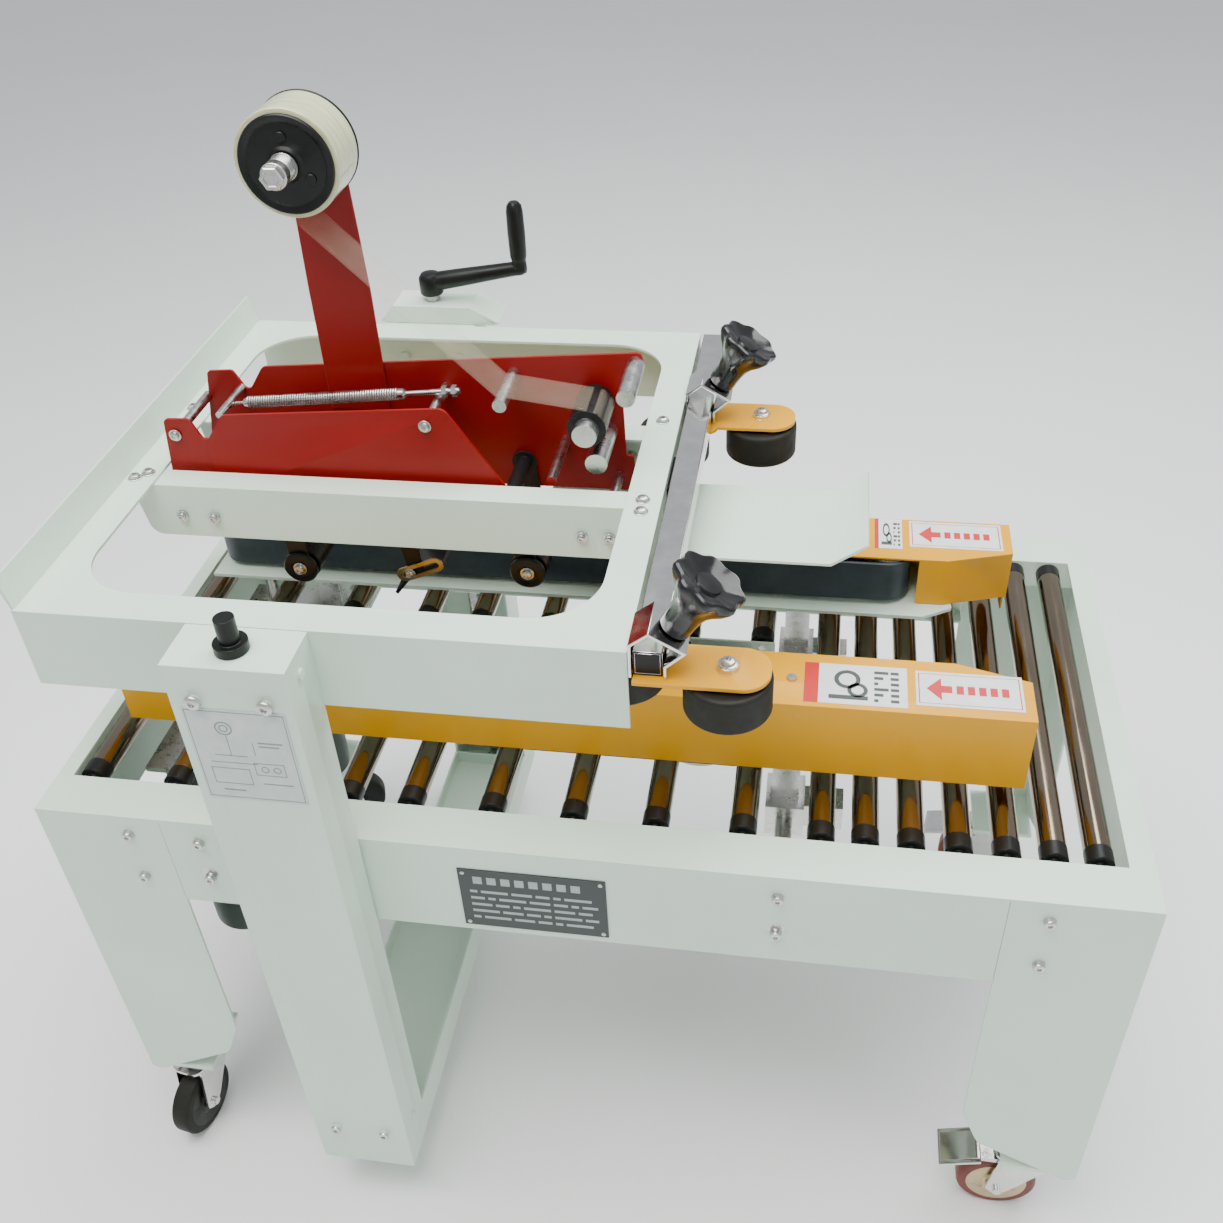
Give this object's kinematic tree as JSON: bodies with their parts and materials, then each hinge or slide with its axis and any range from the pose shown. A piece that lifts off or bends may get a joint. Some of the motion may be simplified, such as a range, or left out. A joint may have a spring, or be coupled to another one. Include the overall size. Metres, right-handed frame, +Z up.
{
  "type": "carton sealer",
  "caption": "Floor-standing carton sealing machine: roller bed on casters, side belts, height-adjustable head frame with press wheels and tape heads.",
  "frame": {"origin": "on the floor, under the middle of the bed", "axes": "+Z up, +X towards the infeed end, +Y towards the crank side"},
  "size_m": [1.09, 0.7, 1.191],
  "materials": {
    "powder_coat": "semi-gloss powder coat",
    "red_paint": "satin paint",
    "yellow_paint": "satin paint",
    "chrome": "bright",
    "zinc": "zinc plated",
    "belt_rubber": "matt",
    "black_plastic": "satin",
    "wheel_rubber": "matt",
    "caster_red": "matt",
    "tape": "glossy film",
    "dark_steel": "satin"
  },
  "bodies": {
    "base": {"bed_frame": "powder_coat", "legs": "powder_coat", "frame_hardware": "zinc", "lower_head": "zinc"},
    "roller_01_body": {"roller_01": "chrome"},
    "roller_02_body": {"roller_02": "chrome"},
    "roller_03_body": {"roller_03": "chrome"},
    "roller_04_body": {"roller_04": "chrome"},
    "roller_05_body": {"roller_05": "chrome"},
    "roller_06_body": {"roller_06": "chrome"},
    "roller_07_body": {"roller_07": "chrome"},
    "roller_08_body": {"roller_08": "chrome"},
    "roller_09_body": {"roller_09": "chrome"},
    "roller_10_body": {"roller_10": "chrome"},
    "roller_11_body": {"roller_11": "chrome"},
    "roller_12_body": {"roller_12": "chrome"},
    "roller_13_body": {"roller_13": "chrome"},
    "roller_14_body": {"roller_14": "chrome"},
    "roller_15_body": {"roller_15": "chrome"},
    "roller_16_body": {"roller_16": "chrome"},
    "caster_near_left": {"caster_fork_near_left": "chrome"},
    "wheel_near_left": {"caster_wheel_near_left": "wheel_rubber"},
    "caster_near_right": {"caster_fork_near_right": "chrome"},
    "wheel_near_right": {"caster_wheel_near_right": "caster_red"},
    "pedal_near_right": {"brake_pedal_near_right": "chrome"},
    "caster_far_left": {"caster_fork_far_left": "chrome"},
    "wheel_far_left": {"caster_wheel_far_left": "wheel_rubber"},
    "caster_far_right": {"caster_fork_far_right": "chrome"},
    "wheel_far_right": {"caster_wheel_far_right": "caster_red"},
    "pedal_far_right": {"brake_pedal_far_right": "chrome"},
    "belt_near": {"belt_deck_near": "powder_coat", "belt_cover_near": "yellow_paint", "side_belt_near": "belt_rubber"},
    "belt_far": {"belt_deck_far": "powder_coat", "belt_cover_far": "yellow_paint", "side_belt_far": "belt_rubber"},
    "width_screw_body": {"width_screw": "zinc"},
    "head": {"lift_frame": "powder_coat", "head_frame": "powder_coat", "head_guides": "powder_coat", "press_rail": "chrome", "tape_head_plates": "red_paint", "tape_arm": "red_paint", "main_spring": "zinc"},
    "lift_screw_near_body": {"lift_screw_near": "dark_steel"},
    "lift_screw_far_body": {"lift_screw_far": "zinc", "lift_crank": "dark_steel"},
    "press_slider_near": {"press_bracket_near": "yellow_paint"},
    "press_knob_near_body": {"press_knob_near": "black_plastic"},
    "press_wheel_near_outer_body": {"press_wheel_near_outer": "black_plastic"},
    "press_wheel_near_inner_body": {"press_wheel_near_inner": "black_plastic"},
    "press_slider_far": {"press_bracket_far": "yellow_paint"},
    "press_knob_far_body": {"press_knob_far": "black_plastic"},
    "press_wheel_far_outer_body": {"press_wheel_far_outer": "black_plastic"},
    "press_wheel_far_inner_body": {"press_wheel_far_inner": "black_plastic"},
    "tape_roll_body": {"tape_roll": "tape"},
    "front_arm_body": {"front_arm": "zinc"},
    "rear_arm_body": {"rear_arm": "zinc"},
    "knife_arm_body": {"knife_arm": "zinc"},
    "lower_tape_roll_body": {"lower_tape_roll": "tape"}
  },
  "joints": [
    {"name": "head_lift", "type": "slide", "parent": "base", "child": "head", "axis": [0, 0, 1], "range_m": [-0.05, 0.32]},
    {"name": "belt_slide_near", "type": "slide", "parent": "base", "child": "belt_near", "axis": [0, 1, 0], "range_m": [-0.065, 0.018]},
    {"name": "belt_slide_far", "type": "slide", "parent": "base", "child": "belt_far", "axis": [0, -1, 0], "range_m": [-0.065, 0.018]},
    {"name": "width_screw_turn", "type": "hinge", "parent": "base", "child": "width_screw_body", "pos_m": [0.244, 0.3, 0.506], "axis": [0, 1, 0], "range_deg": [-5900, 1650]},
    {"name": "lift_screw_near_turn", "type": "hinge", "parent": "head", "child": "lift_screw_near_body", "pos_m": [-0.256, -0.321, 0.8], "axis": [0, 0, 1], "range_deg": [-1830, 11600]},
    {"name": "lift_screw_far_turn", "type": "hinge", "parent": "head", "child": "lift_screw_far_body", "pos_m": [-0.256, 0.321, 0.8], "axis": [0, 0, 1], "range_deg": [-1830, 11600]},
    {"name": "press_slide_near", "type": "slide", "parent": "head", "child": "press_slider_near", "axis": [0, 1, 0], "range_m": [0, 0.13]},
    {"name": "press_slide_far", "type": "slide", "parent": "head", "child": "press_slider_far", "axis": [0, 1, 0], "range_m": [-0.01, 0.11]},
    {"name": "press_knob_near_turn", "type": "hinge", "parent": "press_slider_near", "child": "press_knob_near_body", "pos_m": [0.1072, -0.272, 0.8523], "axis": [0.515, 0, 0.8572], "range_deg": [0, 720]},
    {"name": "press_knob_far_turn", "type": "hinge", "parent": "press_slider_far", "child": "press_knob_far_body", "pos_m": [0.1072, 0.148, 0.8523], "axis": [0.515, 0, 0.8572], "range_deg": [0, 720]},
    {"name": "front_arm_swing", "type": "hinge", "parent": "head", "child": "front_arm_body", "pos_m": [-0.085, 0, 0.816], "axis": [0, 1, 0], "range_deg": [0, 40], "stiffness_Nm_per_rad": 2, "springref_deg": -34.38},
    {"name": "rear_arm_swing", "type": "hinge", "parent": "head", "child": "rear_arm_body", "pos_m": [-0.33, 0, 0.82], "axis": [0, 1, 0], "range_deg": [0, 40]},
    {"name": "knife_arm_swing", "type": "hinge", "parent": "head", "child": "knife_arm_body", "pos_m": [-0.214, 0, 0.812], "axis": [0, 1, 0], "range_deg": [0, 22], "stiffness_Nm_per_rad": 1.5, "springref_deg": -28.65},
    {"name": "caster_swivel_near_left", "type": "hinge", "parent": "base", "child": "caster_near_left", "pos_m": [-0.503, -0.247, 0.115], "axis": [0, 0, 1], "continuous": true},
    {"name": "caster_swivel_near_right", "type": "hinge", "parent": "base", "child": "caster_near_right", "pos_m": [0.503, -0.247, 0.115], "axis": [0, 0, 1], "continuous": true},
    {"name": "caster_swivel_far_left", "type": "hinge", "parent": "base", "child": "caster_far_left", "pos_m": [-0.503, 0.247, 0.115], "axis": [0, 0, 1], "continuous": true},
    {"name": "caster_swivel_far_right", "type": "hinge", "parent": "base", "child": "caster_far_right", "pos_m": [0.503, 0.247, 0.115], "axis": [0, 0, 1], "continuous": true},
    {"name": "brake_pedal_near_right", "type": "hinge", "parent": "caster_near_right", "child": "pedal_near_right", "pos_m": [0.475, -0.247, 0.0985], "axis": [0, -1, 0], "range_deg": [-4, 8]},
    {"name": "brake_pedal_far_right", "type": "hinge", "parent": "caster_far_right", "child": "pedal_far_right", "pos_m": [0.47543, 0.25186, 0.0985], "axis": [-0.1736, -0.9848, 0], "range_deg": [-4, 8]},
    {"name": "tape_roll_spin", "type": "hinge", "parent": "head", "child": "tape_roll_body", "pos_m": [-0.255, 0, 1.143], "axis": [0, 1, 0], "continuous": true},
    {"name": "lower_tape_roll_spin", "type": "hinge", "parent": "base", "child": "lower_tape_roll_body", "pos_m": [0.1, 0, 0.5], "axis": [0, 1, 0], "continuous": true},
    {"name": "press_wheel_near_outer_spin", "type": "hinge", "parent": "press_slider_near", "child": "press_wheel_near_outer_body", "pos_m": [0.153, -0.272, 0.791], "axis": [0, 0, 1], "continuous": true},
    {"name": "press_wheel_near_inner_spin", "type": "hinge", "parent": "press_slider_near", "child": "press_wheel_near_inner_body", "pos_m": [0.06, -0.246, 0.791], "axis": [0, 0, 1], "continuous": true},
    {"name": "press_wheel_far_outer_spin", "type": "hinge", "parent": "press_slider_far", "child": "press_wheel_far_outer_body", "pos_m": [0.153, 0.148, 0.791], "axis": [0, 0, 1], "continuous": true},
    {"name": "press_wheel_far_inner_spin", "type": "hinge", "parent": "press_slider_far", "child": "press_wheel_far_inner_body", "pos_m": [0.06, 0.13, 0.791], "axis": [0, 0, 1], "continuous": true},
    {"name": "caster_roll_near_left", "type": "hinge", "parent": "caster_near_left", "child": "wheel_near_left", "pos_m": [-0.50821, -0.27654, 0.045], "axis": [-0.9848, 0.1736, 0], "continuous": true},
    {"name": "caster_roll_near_right", "type": "hinge", "parent": "caster_near_right", "child": "wheel_near_right", "pos_m": [0.473, -0.247, 0.045], "axis": [0, 1, 0], "continuous": true},
    {"name": "caster_roll_far_left", "type": "hinge", "parent": "caster_far_left", "child": "wheel_far_left", "pos_m": [-0.47481, 0.25726, 0.045], "axis": [0.342, -0.9397, 0], "continuous": true},
    {"name": "caster_roll_far_right", "type": "hinge", "parent": "caster_far_right", "child": "wheel_far_right", "pos_m": [0.47346, 0.25221, 0.045], "axis": [0.1736, 0.9848, 0], "continuous": true},
    {"name": "roller_01_spin", "type": "hinge", "parent": "base", "child": "roller_01_body", "pos_m": [-0.512, 0, 0.5695], "axis": [0, 1, 0], "continuous": true},
    {"name": "roller_02_spin", "type": "hinge", "parent": "base", "child": "roller_02_body", "pos_m": [-0.42, 0, 0.5695], "axis": [0, 1, 0], "continuous": true},
    {"name": "roller_03_spin", "type": "hinge", "parent": "base", "child": "roller_03_body", "pos_m": [-0.327, 0, 0.5695], "axis": [0, 1, 0], "continuous": true},
    {"name": "roller_04_spin", "type": "hinge", "parent": "base", "child": "roller_04_body", "pos_m": [-0.234, 0, 0.5695], "axis": [0, 1, 0], "continuous": true},
    {"name": "roller_05_spin", "type": "hinge", "parent": "base", "child": "roller_05_body", "pos_m": [-0.168, 0, 0.5695], "axis": [0, 1, 0], "continuous": true},
    {"name": "roller_06_spin", "type": "hinge", "parent": "base", "child": "roller_06_body", "pos_m": [-0.084, 0, 0.5695], "axis": [0, 1, 0], "continuous": true},
    {"name": "roller_07_spin", "type": "hinge", "parent": "base", "child": "roller_07_body", "pos_m": [-0.001, 0, 0.5695], "axis": [0, 1, 0], "continuous": true},
    {"name": "roller_08_spin", "type": "hinge", "parent": "base", "child": "roller_08_body", "pos_m": [0.081, 0, 0.5695], "axis": [0, 1, 0], "continuous": true},
    {"name": "roller_09_spin", "type": "hinge", "parent": "base", "child": "roller_09_body", "pos_m": [0.166, 0, 0.5695], "axis": [0, 1, 0], "continuous": true},
    {"name": "roller_10_spin", "type": "hinge", "parent": "base", "child": "roller_10_body", "pos_m": [0.241, 0, 0.5695], "axis": [0, 1, 0], "continuous": true},
    {"name": "roller_11_spin", "type": "hinge", "parent": "base", "child": "roller_11_body", "pos_m": [0.283, 0, 0.5695], "axis": [0, 1, 0], "continuous": true},
    {"name": "roller_12_spin", "type": "hinge", "parent": "base", "child": "roller_12_body", "pos_m": [0.326, 0, 0.5695], "axis": [0, 1, 0], "continuous": true},
    {"name": "roller_13_spin", "type": "hinge", "parent": "base", "child": "roller_13_body", "pos_m": [0.37, 0, 0.5695], "axis": [0, 1, 0], "continuous": true},
    {"name": "roller_14_spin", "type": "hinge", "parent": "base", "child": "roller_14_body", "pos_m": [0.414, 0, 0.5695], "axis": [0, 1, 0], "continuous": true},
    {"name": "roller_15_spin", "type": "hinge", "parent": "base", "child": "roller_15_body", "pos_m": [0.457, 0, 0.5695], "axis": [0, 1, 0], "continuous": true},
    {"name": "roller_16_spin", "type": "hinge", "parent": "base", "child": "roller_16_body", "pos_m": [0.498, 0, 0.5695], "axis": [0, 1, 0], "continuous": true}
  ],
  "couplings": [
    {"joint": "belt_slide_far", "follows": "belt_slide_near", "ratio": 1},
    {"joint": "width_screw_turn", "follows": "belt_slide_near", "rad_per_m": 1570.8},
    {"joint": "lift_screw_near_turn", "follows": "head_lift", "rad_per_m": 628.32},
    {"joint": "lift_screw_far_turn", "follows": "head_lift", "rad_per_m": 628.32},
    {"joint": "rear_arm_swing", "follows": "front_arm_swing", "ratio": 1}
  ]
}
